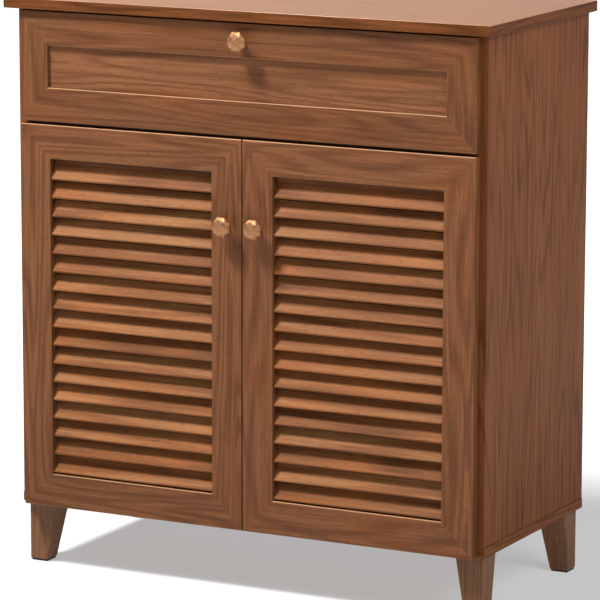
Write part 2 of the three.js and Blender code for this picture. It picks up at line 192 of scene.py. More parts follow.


# One walnut print in several shades: the case has thin, strong rings, the top is glossier and painted
# paler for the light that falls on it from above, the slats vary most in colour, and the legs and the
# inside boards are plainer.
front_foil = walnut_foil(
    "Walnut_foil_satin", "#4a2a15", "#643e25", "#855638", "#7f4723",
    contrast=0.78, gloss=0.12, edge_highlight=0.6, highlight_colour="#c99b70")
case_foil = walnut_foil(
    "Walnut_foil_case", "#4a2913", "#6a3d20", "#855530", "#784521",
    ring_mm=10.0, fibre_mm=2.2, contrast=0.95, gloss=0.05, edge_highlight=0.1, thin=4.0)
# The top's foil is painted paler than the case, for the light that falls on it from above.
top_foil_painted_light = walnut_foil(
    "Walnut_foil_top_painted_light", "#643f27", "#835634", "#976a46", "#8a5730",
    contrast=0.5, rough=0.4, gloss=0.5, edge_highlight=0.3)
slat_foil = walnut_foil(
    "Walnut_foil_slats", "#4a2915", "#724729", "#986c46", "#a05e30",
    ring_mm=24.0, contrast=0.72, gloss=0.08, edge_highlight=0.3)
leg_foil = walnut_foil(
    "Walnut_stained_leg", "#4f321d", "#704b30", "#87603f", "#785031",
    contrast=0.6, edge_highlight=0.2)
inner_foil = walnut_foil(
    "Walnut_foil_inside", "#5a3a28", "#7f5640", "#946a50", "#8c5e42",
    contrast=0.7, rough=0.55, edge_highlight=0.3)
print("foils:", [m.name for m in bpy.data.materials])

# %% [markdown]
# ## Metals, plastic and hardboard
#
# The knobs are cast zinc with a dull, mottled antique brass finish. The runners, hinges and pins are
# pressed steel, zinc plated, with fine drawing marks. The leg glides are black polyethylene. The back and
# the drawer floor are thin hardboard, brown all over, with the felted speckle of pressed fibre. All four
# are the same kind of surface, two close colours mottled by noise, so one function makes them.


# %% Metal, plastic and hardboard materials
def plain_material(name, colour, other, spot_mm, metallic, rough_low, rough_high, relief_mm,
                   mark=(1, 1, 1)):
    """A mottled surface: two colours, roughness and relief that follow noise of a real size."""
    material = bpy.data.materials.new(name)
    material.use_nodes = True
    tree = material.node_tree
    shader = tree.nodes["Principled BSDF"]
    coordinates = add(tree, "ShaderNodeTexCoord").outputs["Object"]
    place = add(tree, "ShaderNodeMapping", {"Vector": coordinates, "Scale": mark})
    noise = add(tree, "ShaderNodeTexNoise", {
        "Vector": place.outputs[0], "Scale": 1 / (spot_mm * MM), "Detail": 4.0, "Roughness": 0.6})
    spread = add(tree, "ShaderNodeMapRange", {
        "Value": noise.outputs["Fac"], "From Min": 0.3, "From Max": 0.7})
    colours = add(tree, "ShaderNodeMix", {
        "Factor": spread.outputs[0], 6: linear(colour), 7: linear(other)}, data_type="RGBA")
    tree.links.new(colours.outputs[2], shader.inputs["Base Color"])
    rough = add(tree, "ShaderNodeMapRange", {
        "Value": noise.outputs["Fac"], "To Min": rough_low, "To Max": rough_high})
    tree.links.new(rough.outputs[0], shader.inputs["Roughness"])
    bump = add(tree, "ShaderNodeBump", {
        "Height": noise.outputs["Fac"], "Strength": 0.5, "Distance": relief_mm * MM})
    tree.links.new(bump.outputs[0], shader.inputs["Normal"])
    shader.inputs["Metallic"].default_value = metallic
    return material


drawing_marks = (1, 0.12, 1)
knob_brass = plain_material("Antique_brass_cast", "#8f6443", "#b38460", 4.0, 1.0, 0.42, 0.58, 0.08)
zinc_steel = plain_material("Zinc_plated_steel", "#b9bcc0", "#9fa3a8", 1.6, 1.0, 0.28, 0.42, 0.02,
                            drawing_marks)
glide_plastic = plain_material("Black_glide_plastic", "#17130f", "#241d18", 1.2, 0.0, 0.45, 0.6, 0.05)
hardboard = plain_material("Hardboard_brown", "#563a2a", "#7d5a42", 7.0, 0.0, 0.6, 0.8, 0.08)
print("materials:", len(bpy.data.materials))

# %% [markdown]
# ## Boards with eased edges
#
# No real board edge is razor sharp: the foil is wrapped round a radius of about a millimetre, and it is
# this radius that catches a thin line of light. The CAD solid has sharp edges, and its mesh must stay as
# it is, so each board is a welded copy. Flat triangles are dissolved into whole faces first; then only
# long outside corners are bevelled, so that slots and pin holes keep their shape. A bevel modifier that
# goes by angle would round those too. Each board also gets its grain, how light or dark its print is,
# and how strong the painted highlight on its eased edges is: strongest where they face up to the light.


# %% Board helper
dice = random.Random(7)
END_SKIN = 0.2 * MM
# Painted highlight: every eased face gets at least this share of the paler edge colour.
LEAST_EDGE_HIGHLIGHT = 0.2


def straight(along, across):
    """Grain that runs along one axis, with its own random stretch of the print."""
    through = ({0, 1, 2} - {along, across}).pop()
    start, aside = dice.uniform(1, 40), dice.uniform(1, 5)
    return lambda co: (co[along] + start, co[across] + aside, co[through])


def banded(node):
    """Grain along X on the faces and front edge, and along Y on the two ends, where a band is glued."""
    start, end_x = dice.uniform(1, 40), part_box(node)[1].x - END_SKIN
    return lambda co: (co.y + start, co.z, co.x) if abs(co.x) > end_x else (co.x + start, co.y, co.z)


def lay_grain(mesh, measure, tone=0.0):
    """Writes each point's place along, across and through its board, its tone and its painted edge
    highlight.
    """
    places = [value for point in mesh.vertices for value in measure(point.co)]
    mesh.attributes.new("grain", "FLOAT_VECTOR", "POINT").data.foreach_set("vector", places)
    mesh.attributes.new("tone", "FLOAT", "POINT").data.foreach_set("value", [tone] * len(mesh.vertices))
    # Painted highlight on the eased faces: the more a face looks up to the light, the paler it is painted.
    eased = [max(LEAST_EDGE_HIGHLIGHT, face.normal.z) if face.use_smooth else 0.0 for face in mesh.polygons]
    mesh.attributes.new("eased", "FLOAT", "FACE").data.foreach_set("value", eased)


def welded(node):
    """A copy of the CAD mesh with its points joined and its flat triangles merged into whole faces."""
    bm = bmesh.new()
    bm.from_mesh(nodes[node].data)
    bmesh.ops.remove_doubles(bm, verts=bm.verts, dist=0.01 * MM)
    bmesh.ops.dissolve_limit(bm, angle_limit=math.radians(1), verts=bm.verts, edges=bm.edges)
    return bm


def ease_edges(bm, radius, shortest=6 * MM, steps=3, axis=None):
    """Rounds the outside corners that are long enough and, where an axis is given, run along it."""
    def wanted(edge):
        if len(edge.link_faces) != 2 or not edge.is_convex or edge.calc_length() < shortest:
            return False
        line = (edge.verts[1].co - edge.verts[0].co).normalized()
        return edge.calc_face_angle(0) > math.radians(25) and (axis is None or abs(line[axis]) > 0.95)

    for face in bm.faces:
        face.smooth = False
    corners = [edge for edge in bm.edges if wanted(edge)]
    made = bmesh.ops.bevel(bm, geom=corners, offset=radius, offset_type="OFFSET", segments=steps,
                           profile=0.5, affect="EDGES", clamp_overlap=True)
    for face in made["faces"]:
        face.smooth = True


def finish_piece(name, mesh, material, body, stands_for=()):
    """Links a mesh at the origin, and lets it ride on its body in place of its CAD nodes."""
    if material:
        mesh.materials.clear()
        mesh.materials.append(material)
    piece = bpy.data.objects.new(name, mesh)
    bpy.context.scene.collection.objects.link(piece)
    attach(piece, body)
    if stands_for:
        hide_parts(*stands_for)
    return piece


def board(node, material, measure, radius=0.6, tone=0.0, axis=None):
    """One CAD part, dressed: eased by a radius in millimetres, with its grain laid and its material on."""
    bm = welded(node)
    ease_edges(bm, radius * MM, axis=axis)
    mesh = bpy.data.meshes.new(f"{node}_look")
    bm.to_mesh(mesh)
    bm.free()
    lay_grain(mesh, measure, tone)
    return finish_piece(f"{node}_look", mesh, material, body_of_node[node], [node])


X, Y, Z = 0, 1, 2

# %% [markdown]
# ## The case
#
# The top and bottom boards are laid with their grain from side to side, the two sides with theirs
# upright, as the foil runs along the length of each board when it is wrapped. The top's upper face has
# a paler copy of the print, painted lighter for the light that falls on it from above; its edges are
# banded with the darker foil of the case.

# %% Case boards
BAND_BELOW = 0.7 * MM
BAND_TONE = -0.16

top = board("top_panel", top_foil_painted_light, banded("top_panel"), radius=0.8)
top.data.materials.append(case_foil)
top_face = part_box("top_panel")[1].z - BAND_BELOW
for face in top.data.polygons:
    if face.center.z < top_face:
        face.material_index = 1
for point, value in zip(top.data.vertices, top.data.attributes["tone"].data):
    value.value = BAND_TONE if point.co.z < top_face else 0.0
bottom = board("bottom_panel", case_foil, banded("bottom_panel"), radius=0.8)
for side in ("left", "right"):
    board(f"{side}_side_panel", case_foil, straight(Z, Y), radius=0.7)
board("drawer_divider", inner_foil, straight(X, Y))
for number in (1, 2, 3):
    board(f"shelf_{number}", inner_foil, straight(X, Y), radius=0.8,
          tone=dice.uniform(-0.04, 0.04))
board("back_panel", hardboard, straight(Z, X), radius=0.4)
print("top board:", len(top.data.polygons), "faces; bottom board:", len(bottom.data.polygons))

# %% [markdown]
# ## Legs and glides
#
# Each leg is a solid block that tapers on its two inner sides. A glide, a thin black plastic pad, is
# nailed under it so that it can be pushed over a floor. The CAD leg reaches the floor, so the wood
# ends three millimetres higher here and the glide fills what is left. The lowest corners are moved up
# along their own edges, which keeps the taper, instead of being scaled, which would change it.

# %% Legs and glides
GLIDE = 3 * MM
GLIDE_INSET = 1.2 * MM
for end in ("front", "rear"):
    for side in ("left", "right"):
        leg_name = f"{end}_{side}_leg"
        low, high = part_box(leg_name)
        bm = welded(leg_name)
        foot = [v for v in bm.verts if v.co.z < low.z + 1 * MM]
        for vert in foot:
            ends = [edge.other_vert(vert) for edge in vert.link_edges]
            head = next(v for v in ends if v.co.z > high.z - 1 * MM)
            vert.co = vert.co.lerp(head.co, GLIDE / (high.z - low.z))
        pad_x = [min(v.co.x for v in foot), max(v.co.x for v in foot)]
        pad_y = [min(v.co.y for v in foot), max(v.co.y for v in foot)]
        ease_edges(bm, 1.4 * MM)
        mesh = bpy.data.meshes.new(f"{leg_name}_look")
        bm.to_mesh(mesh)
        bm.free()
        lay_grain(mesh, straight(Z, X), dice.uniform(-0.05, 0.05))
        finish_piece(f"{leg_name}_look", mesh, leg_foil, "case", [leg_name])

        pad = bmesh.new()
        bmesh.ops.create_cube(pad, size=1.0)
        for vert in pad.verts:
            vert.co.x = pad_x[0] + GLIDE_INSET if vert.co.x < 0 else pad_x[1] - GLIDE_INSET
            vert.co.y = pad_y[0] + GLIDE_INSET if vert.co.y < 0 else pad_y[1] - GLIDE_INSET
            vert.co.z = low.z if vert.co.z < 0 else low.z + GLIDE
        ease_edges(pad, 1.1 * MM, shortest=1 * MM)
        pad_mesh = bpy.data.meshes.new(f"{end}_{side}_glide")
        pad.to_mesh(pad_mesh)
        pad.free()
        finish_piece(f"{end}_{side}_glide", pad_mesh, glide_plastic, "case")
print("leg foot:", [round((b - a) / MM, 1) for a, b in (pad_x, pad_y)], "mm")

# %% [markdown]
# ## Mitred fronts
#
# The drawer front and the doors are frames of four members, mitred at the corners. The foil follows
# each member, so the streaks turn the corner with it. That is why the grain of a frame is measured from
# the edge of its opening, and not from the middle of the board: a streak 20 mm from the opening on the
# rail then meets one 20 mm from the opening on the stile.


# %% Frames and drawer panel
def opening_of(prefix):
    """The opening between a frame's four members: lowest and highest X and Z."""
    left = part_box(f"{prefix}_left_stile")
    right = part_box(f"{prefix}_right_stile")
    bottom_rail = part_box(f"{prefix}_bottom_rail")
    top_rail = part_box(f"{prefix}_top_rail")
    return left[1].x, right[0].x, bottom_rail[1].z, top_rail[0].z


def frame_boards(prefix, tone):
    x0, x1, z0, z1 = opening_of(prefix)
    wide, tall, start = x1 - x0, z1 - z0, dice.uniform(1, 40)
    rules = {
        "top_rail": (X, lambda co: (start + co.x - x0, co.z - z1, co.y)),
        "bottom_rail": (X, lambda co: (start + tall - co.x + x0, z0 - co.z, co.y)),
        "left_stile": (Z, lambda co: (start + z1 - co.z, x0 - co.x, co.y)),
        "right_stile": (Z, lambda co: (start + wide + co.z - z1, co.x - x1, co.y)),
    }
    for member, (axis, measure) in rules.items():
        board(f"{prefix}_{member}", front_foil, measure, 1.4,
              tone + dice.uniform(-0.02, 0.02), axis)


frame_boards("drawer", -0.05)
frame_boards("left_door", 0.0)
frame_boards("right_door", 0.0)
board("drawer_front_panel", front_foil, straight(X, Z), 0.3, 0.08)
print("door opening in mm:", [round(v / MM, 1) for v in opening_of("left_door")])

# %% [markdown]
# ## Drawer box
#
# Behind the front sits a plain box of foiled board with a thin hardboard floor let into grooves.

# %% Drawer box
for side in ("left", "right"):
    board(f"drawer_{side}_side", inner_foil, straight(Y, Z), 0.5)
board("drawer_back", inner_foil, straight(X, Z), 0.5)
board("drawer_floor", hardboard, straight(X, Y), 0.3)

# %% [markdown]
# ## Louvre slats
#
# Seventeen slats fill each door, all alike: a strip 28 mm wide and 5 mm thick with chamfered edges,
# leaning back by 30 degrees. They could be copied in a loop, but Geometry Nodes describe the rule
# itself: one strip is swept along a line, placed on a row of points, and given its own random shift of
# the grain, so that no two slats show the same print. The shift is stored on the instances, and it
# spreads to the points when the instances are made real. Three plain strips sit behind the frame: one
# batten at each end of the slats, and one across the top that closes the slot over the highest slat.
# Their print is painted darker as shade, for they lie in the shadow behind the frame.


# %% Slat tree
def geometry_tree(name, inputs):
    tree = bpy.data.node_groups.new(name, "GeometryNodeTree")
    tree.interface.new_socket("Geometry", in_out="INPUT", socket_type="NodeSocketGeometry")
    for label, kind in inputs:
        tree.interface.new_socket(label, in_out="INPUT", socket_type=kind)
    tree.interface.new_socket("Geometry", in_out="OUTPUT", socket_type="NodeSocketGeometry")
    return tree, tree.nodes.new("NodeGroupInput").outputs, tree.nodes.new("NodeGroupOutput")


def made_by(tree, name, values, start=None):
    """Runs a geometry tree on a mesh and returns the result as a plain mesh."""
    holder = bpy.data.objects.new(name, start or bpy.data.meshes.new(name))
    bpy.context.scene.collection.objects.link(holder)
    modifier = holder.modifiers.new(tree.name, "NODES")
    modifier.node_group = tree
    for socket in tree.interface.items_tree:
        if socket.in_out == "INPUT" and socket.name in values:
            modifier[socket.identifier] = values[socket.name]
    evaluated = holder.evaluated_get(bpy.context.evaluated_depsgraph_get())
    mesh = bpy.data.meshes.new_from_object(evaluated)
    holder.modifiers.clear()
    bpy.data.objects.remove(holder)
    return mesh


slat_tree, given, result = geometry_tree("Louvre_slats", [
    ("Count", "NodeSocketInt"), ("Pitch", "NodeSocketFloat"), ("Length", "NodeSocketFloat"),
    ("Width", "NodeSocketFloat"), ("Thickness", "NodeSocketFloat"), ("Nose radius", "NodeSocketFloat"),
    ("Lean", "NodeSocketFloat"), ("Start", "NodeSocketVector"), ("Seed", "NodeSocketInt"),
    ("Material", "NodeSocketMaterial")])
half = add(slat_tree, "ShaderNodeMath", {0: given["Length"], 1: 0.5}, operation="MULTIPLY").outputs[0]
minus_half = add(slat_tree, "ShaderNodeMath", {0: half, 1: -1.0}, operation="MULTIPLY").outputs[0]
line = add(slat_tree, "GeometryNodeCurvePrimitiveLine", {
    "Start": add(slat_tree, "ShaderNodeCombineXYZ", {0: minus_half}).outputs[0],
    "End": add(slat_tree, "ShaderNodeCombineXYZ", {0: half}).outputs[0]})
section = add(slat_tree, "GeometryNodeCurvePrimitiveQuadrilateral", {
    "Width": given["Thickness"], "Height": given["Width"]})
chamfered = add(slat_tree, "GeometryNodeFilletCurve", {
    "Curve": section.outputs[0], "Count": 1, "Radius": given["Nose radius"]}, mode="POLY")
strip = add(slat_tree, "GeometryNodeCurveToMesh", {
    "Curve": line.outputs[0], "Profile Curve": chamfered.outputs[0], "Fill Caps": True})
position = slat_tree.nodes.new("GeometryNodeInputPosition").outputs[0]
with_grain = add(slat_tree, "GeometryNodeStoreNamedAttribute", {
    "Geometry": strip.outputs[0], "Name": "grain", "Value": position}, data_type="FLOAT_VECTOR")
lean = add(slat_tree, "ShaderNodeCombineXYZ", {0: given["Lean"]})
leaning = add(slat_tree, "GeometryNodeTransform", {
    "Geometry": with_grain.outputs[0], "Rotation": lean.outputs[0]})
step = add(slat_tree, "ShaderNodeCombineXYZ", {2: given["Pitch"]})
row = add(slat_tree, "GeometryNodeMeshLine", {
    "Count": given["Count"], "Start Location": given["Start"], "Offset": step.outputs[0]})
placed = add(slat_tree, "GeometryNodeInstanceOnPoints", {
    "Points": row.outputs[0], "Instance": leaning.outputs[0]})
shift = add(slat_tree, "FunctionNodeRandomValue", {
    "Min": (1, 1, 1), "Max": (60, 9, 9), "Seed": given["Seed"]}, data_type="FLOAT_VECTOR")
tint = add(slat_tree, "FunctionNodeRandomValue", {
    2: -0.08, 3: 0.08, "Seed": given["Seed"]}, data_type="FLOAT")
with_shift = add(slat_tree, "GeometryNodeStoreNamedAttribute", {
    "Geometry": placed.outputs[0], "Name": "shift", "Value": shift.outputs[0]},
    data_type="FLOAT_VECTOR", domain="INSTANCE")
with_tone = add(slat_tree, "GeometryNodeStoreNamedAttribute", {
    "Geometry": with_shift.outputs[0], "Name": "tone", "Value": tint.outputs[1]},
    data_type="FLOAT", domain="INSTANCE")
real = add(slat_tree, "GeometryNodeRealizeInstances", {"Geometry": with_tone.outputs[0]})
old_grain = add(slat_tree, "GeometryNodeInputNamedAttribute", {"Name": "grain"}, data_type="FLOAT_VECTOR")
own_shift = add(slat_tree, "GeometryNodeInputNamedAttribute", {"Name": "shift"}, data_type="FLOAT_VECTOR")
moved = add(slat_tree, "ShaderNodeVectorMath", {
    0: old_grain.outputs[0], 1: own_shift.outputs[0]}, operation="ADD")
new_grain = add(slat_tree, "GeometryNodeStoreNamedAttribute", {
    "Geometry": real.outputs[0], "Name": "grain", "Value": moved.outputs[0]}, data_type="FLOAT_VECTOR")
painted = add(slat_tree, "GeometryNodeSetMaterial", {
    "Geometry": new_grain.outputs[0], "Material": given["Material"]})
slat_tree.links.new(painted.outputs[0], result.inputs[0])

# %% Slats and battens
SLATS = 17
SLAT_WIDTH = 28 * MM
SLAT_THICKNESS = 5 * MM
SLAT_LEAN = math.radians(30)
SLAT_SETBACK = 1.5 * MM
SLAT_PLAY = 0.4 * MM
NOSE_RADIUS = 1.4 * MM
PRINT_SEEDS = {"left": 11, "right": 23}
LOWEST_GAP = 1 * MM
TOP_DROP = 33 * MM
BATTEN_FRONT = 6.3 * MM
TOP_STRIP_FRONT = 12 * MM
TOP_STRIP_SHOWN = 8 * MM
STRIP_OVERLAP = 1 * MM
# Painted shade: the battens and the top strip are darkened, as they lie in shadow behind the frame.
STRIP_PAINTED_SHADE = -0.22


def flat_or_smooth(mesh, angle=40):
    """Smooth shading over small facets, with a sharp line wherever faces meet steeply."""
    mesh.shade_smooth()
    mesh.set_sharp_from_angle(angle=math.radians(angle))


for side in ("left", "right"):
    door = f"{side}_door"
    x0, x1, z0, z1 = opening_of(door)
    face_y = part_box(f"{door}_top_rail")[0].y
    low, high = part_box(f"{door}_louvre")
    lean_up = Vector((0, math.sin(SLAT_LEAN), math.cos(SLAT_LEAN)))
    lean_through = Vector((0, math.cos(SLAT_LEAN), -math.sin(SLAT_LEAN)))
    nose_z = z0 + LOWEST_GAP + SLAT_THICKNESS * math.sin(SLAT_LEAN)
    nose = Vector(((x0 + x1) / 2, face_y + SLAT_SETBACK, nose_z))
    centre = nose + lean_up * SLAT_WIDTH / 2 + lean_through * SLAT_THICKNESS / 2
    mesh = made_by(slat_tree, f"{door}_slats", {
        "Count": SLATS, "Pitch": (z1 - z0 - TOP_DROP - LOWEST_GAP) / (SLATS - 1),
        "Length": x1 - x0 - SLAT_PLAY, "Width": SLAT_WIDTH, "Thickness": SLAT_THICKNESS,
        "Nose radius": NOSE_RADIUS, "Lean": -SLAT_LEAN, "Start": centre,
        "Seed": PRINT_SEEDS[side], "Material": slat_foil})
    flat_or_smooth(mesh)
    finish_piece(f"{door}_slats", mesh, None, door, [f"{door}_louvre"])
    inner_x = (x0 + STRIP_OVERLAP, x1 - STRIP_OVERLAP)
    strips = (
        ("left", (low.x, inner_x[0]), BATTEN_FRONT, (low.z, high.z), straight(Z, X)),
        ("right", (inner_x[1], high.x), BATTEN_FRONT, (low.z, high.z), straight(Z, X)),
        ("top", inner_x, TOP_STRIP_FRONT, (z1 - TOP_STRIP_SHOWN, high.z), straight(X, Z)),
    )
    for end, xs, front, zs, measure in strips:
        bm = bmesh.new()
        bmesh.ops.create_cube(bm, size=1.0)
        for vert in bm.verts:
            vert.co.x = xs[0] if vert.co.x < 0 else xs[1]
            vert.co.y = face_y + front if vert.co.y < 0 else high.y
            vert.co.z = zs[0] if vert.co.z < 0 else zs[1]
        ease_edges(bm, 0.4 * MM)
        batten = bpy.data.meshes.new(f"{door}_{end}_batten")
        bm.to_mesh(batten)
        bm.free()
        # The strips' print is darkened here as painted shade.
        lay_grain(batten, measure, STRIP_PAINTED_SHADE)
        finish_piece(f"{door}_{end}_batten", batten, slat_foil, door, [f"{door}_louvre"])
    lows = [min(v.co[i] for v in mesh.vertices) / MM for i in range(3)]
    highs = [max(v.co[i] for v in mesh.vertices) / MM for i in range(3)]
    print(f"{side} slats from", [round(v, 1) for v in lows], "to", [round(v, 1) for v in highs],
          "CAD from", [round(v / MM, 1) for v in low], "to", [round(v / MM, 1) for v in high])

# %% [markdown]
# ## Cut knobs
#
# The knobs are cast in the shape of a cut stone: a small flat table, a crown of facets that alternate
# between points up and points down, a narrow girdle, and a waisted neck. Each is built from rings of
# eight corners, listed as how proud of the front the ring is, its radius and its turn. The second ring
# is turned by half a step, which gives the crown its triangles; the others stand in line and give flat
# faces. A sphere with few segments would be quicker, but it would have neither these facets nor a neck.
# A tiny bevel stands for the polish that softens each ridge.

# %% Knobs
SIDES = 8


def knob_mesh(name, x, z, face_y, reach, radius):
    rings = [
        (reach, radius * 0.36, 0.0),
        (reach * 0.92, radius * 0.76, 0.5),
        (reach * 0.75, radius, 0.0),
        (reach * 0.60, radius, 0.0),
        (reach * 0.46, radius * 0.62, 0.0),
        (reach * 0.30, radius * 0.36, 0.0),
        (reach * 0.12, radius * 0.36, 0.0),
        (0.0, radius * 0.46, 0.0),
    ]
    bm = bmesh.new()
    corners = []
    for proud, wide, turn in rings:
        angles = [2 * math.pi * (i + 0.5 + turn) / SIDES for i in range(SIDES)]
        corners.append([bm.verts.new((x + wide * math.cos(a), face_y - proud, z + wide * math.sin(a)))
                        for a in angles])
    for (near, far), (_, _, turn), (_, _, turn_far) in zip(zip(corners, corners[1:]), rings, rings[1:]):
        for i in range(SIDES):
            j = (i + 1) % SIDES
            if turn == turn_far:
                bm.faces.new((near[i], near[j], far[j], far[i]))
            elif turn < turn_far:
                bm.faces.new((near[i], near[j], far[i]))
                bm.faces.new((near[j], far[j], far[i]))
            else:
                bm.faces.new((near[i], far[j], far[i]))
                bm.faces.new((near[i], near[j], far[j]))
    bm.faces.new(list(reversed(corners[0])))
    bm.faces.new(corners[-1])
    bmesh.ops.recalc_face_normals(bm, faces=bm.faces)
    ease_edges(bm, 0.35 * MM, shortest=2 * MM, steps=2)
    mesh = bpy.data.meshes.new(name)
    bm.to_mesh(mesh)
    bm.free()
    return mesh


for owner in ("drawer", "left_door", "right_door"):
    node = f"{owner}_knob"
    low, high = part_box(node)
    face_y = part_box(f"{owner}_top_rail")[0].y
    radius = (high.x - low.x) / 2 / math.cos(math.pi / SIDES)
    middle_x, middle_z = (low.x + high.x) / 2, (low.z + high.z) / 2
    mesh = knob_mesh(f"{node}_look", middle_x, middle_z, face_y, face_y - low.y, radius)
    finish_piece(f"{node}_look", mesh, knob_brass, owner, [node])
print("knob:", round(radius * 2 / MM, 1), "mm over corners,", round((face_y - low.y) / MM, 1), "mm proud")

# %% [markdown]
# ## Runners and hinges
#
# The steel parts are pressed from sheet. They keep their CAD shape, with a fine radius on long edges.

# %% Steel parts
for side in ("left", "right"):
    board(f"{side}_case_runner", zinc_steel, straight(Y, Z), 0.3)
    board(f"{side}_drawer_runner", zinc_steel, straight(Y, Z), 0.3)
    for level in ("lower", "upper"):
        board(f"{side}_{level}_hinge_arm", zinc_steel, straight(Y, Z), 0.7)
        board(f"{side}_door_{level}_hinge_cup", zinc_steel, straight(Y, Z), 0.3)

# %% [markdown]
# ## Screws and shelf pins
#
# Small fittings repeat, so each kind is one Geometry Nodes tree that is given points. Every point
# carries a "facing" vector, and the head placed on it is turned that way. The screw head is a low cone
# with a cross cut into it by a boolean, done once before it is repeated. The pin is a rod with a collar
# that stops it at the wall and a tapered tip; the shelves lie on these pins.


# %% Fastener trees
def end_of_tree(tree, given, result, shape):
    """Places the shape on every point, turned to its facing vector, and makes it real."""
    facing = add(tree, "GeometryNodeInputNamedAttribute", {"Name": "facing"}, data_type="FLOAT_VECTOR")
    turn = add(tree, "FunctionNodeAlignRotationToVector", {"Vector": facing.outputs[0]}, axis="Z")
    placed = add(tree, "GeometryNodeInstanceOnPoints", {
        "Points": given["Geometry"], "Instance": shape, "Rotation": turn.outputs[0]})
    real = add(tree, "GeometryNodeRealizeInstances", {"Geometry": placed.outputs[0]})
    painted = add(tree, "GeometryNodeSetMaterial", {
        "Geometry": real.outputs[0], "Material": given["Material"]})
    tree.links.new(painted.outputs[0], result.inputs[0])


def scaled(tree, value, factor):
    return add(tree, "ShaderNodeMath", {0: value, 1: factor}, operation="MULTIPLY").outputs[0]


screw_tree, given, result = geometry_tree("Cross_head_screws", [
    ("Head radius", "NodeSocketFloat"), ("Head height", "NodeSocketFloat"),
    ("Material", "NodeSocketMaterial")])
head = add(screw_tree, "GeometryNodeMeshCone", {
    "Vertices": 16, "Radius Top": scaled(screw_tree, given["Head radius"], 0.78),
    "Radius Bottom": given["Head radius"], "Depth": given["Head height"]})
long_side = scaled(screw_tree, given["Head radius"], 1.15)
short_side = scaled(screw_tree, given["Head radius"], 0.26)
cross = []
for wide, narrow in ((long_side, short_side), (short_side, long_side)):
    size = add(screw_tree, "ShaderNodeCombineXYZ", {0: wide, 1: narrow, 2: given["Head height"]})
    blade = add(screw_tree, "GeometryNodeMeshCube", {"Size": size.outputs[0]})
    lift = add(screw_tree, "ShaderNodeCombineXYZ", {2: given["Head height"]})
    cross.append(add(screw_tree, "GeometryNodeTransform", {
        "Geometry": blade.outputs[0], "Translation": lift.outputs[0]}).outputs[0])
slotted = add(screw_tree, "GeometryNodeMeshBoolean", {0: head.outputs[0]}, operation="DIFFERENCE")
for blade in cross:
    screw_tree.links.new(blade, slotted.inputs[1])
end_of_tree(screw_tree, given, result, slotted.outputs[0])

pin_tree, given, result = geometry_tree("Shelf_pins", [
    ("Radius", "NodeSocketFloat"), ("In wall", "NodeSocketFloat"), ("Out", "NodeSocketFloat"),
    ("Collar", "NodeSocketFloat"), ("Material", "NodeSocketMaterial")])
tip = scaled(pin_tree, given["Radius"], 0.5)
rod_out = add(pin_tree, "ShaderNodeMath", {0: given["Out"], 1: tip}, operation="SUBTRACT").outputs[0]
rod_length = add(pin_tree, "ShaderNodeMath", {0: given["In wall"], 1: rod_out}, operation="ADD").outputs[0]
rod = add(pin_tree, "GeometryNodeMeshCone", {
    "Vertices": 20, "Radius Top": given["Radius"], "Radius Bottom": given["Radius"], "Depth": rod_length})
rod_start = add(pin_tree, "ShaderNodeCombineXYZ", {2: scaled(pin_tree, given["In wall"], -1.0)})
rod_end = add(pin_tree, "ShaderNodeCombineXYZ", {2: rod_out})
taper = add(pin_tree, "GeometryNodeMeshCone", {
    "Vertices": 20, "Radius Top": tip, "Radius Bottom": given["Radius"], "Depth": tip})
collar = add(pin_tree, "GeometryNodeMeshCone", {
    "Vertices": 20, "Radius Top": scaled(pin_tree, given["Collar"], 0.9), "Radius Bottom": given["Collar"],
    "Depth": scaled(pin_tree, given["Radius"], 0.3)})
whole_pin = pin_tree.nodes.new("GeometryNodeJoinGeometry")
for shape, place in ((rod, rod_start), (taper, rod_end), (collar, None)):
    moved_shape = shape.outputs[0] if place is None else add(pin_tree, "GeometryNodeTransform", {
        "Geometry": shape.outputs[0], "Translation": place.outputs[0]}).outputs[0]
    pin_tree.links.new(moved_shape, whole_pin.inputs[0])
end_of_tree(pin_tree, given, result, whole_pin.outputs[0])


# %% Screws and pins in their places
def points_facing(name, spots):
    """A mesh of loose points, each with the direction that its fitting faces."""
    mesh = bpy.data.meshes.new(name)
    mesh.from_pydata([place for place, _ in spots], [], [])
    directions = [value for _, facing in spots for value in facing]
    mesh.attributes.new("facing", "FLOAT_VECTOR", "POINT").data.foreach_set("vector", directions)
    return mesh


PAD_THICKNESS = 3 * MM
ARM_SCREW_SETBACK = 20 * MM
ARM_SCREW_SPREAD = 16 * MM
CUP_SCREW_SPREAD = 22.5 * MM
RUNNER_SHEET = 1.5 * MM
RUNNER_SCREW_HEIGHT = 3.3 * MM
RUNNER_SCREW_SHARES = (0.12, 0.5, 0.88)
HEAD_RADIUS = 2.9 * MM
HEAD_HEIGHT = 0.9 * MM
COLLAR_RADIUS = 3.6 * MM
SHELF_PLAY = 1 * MM

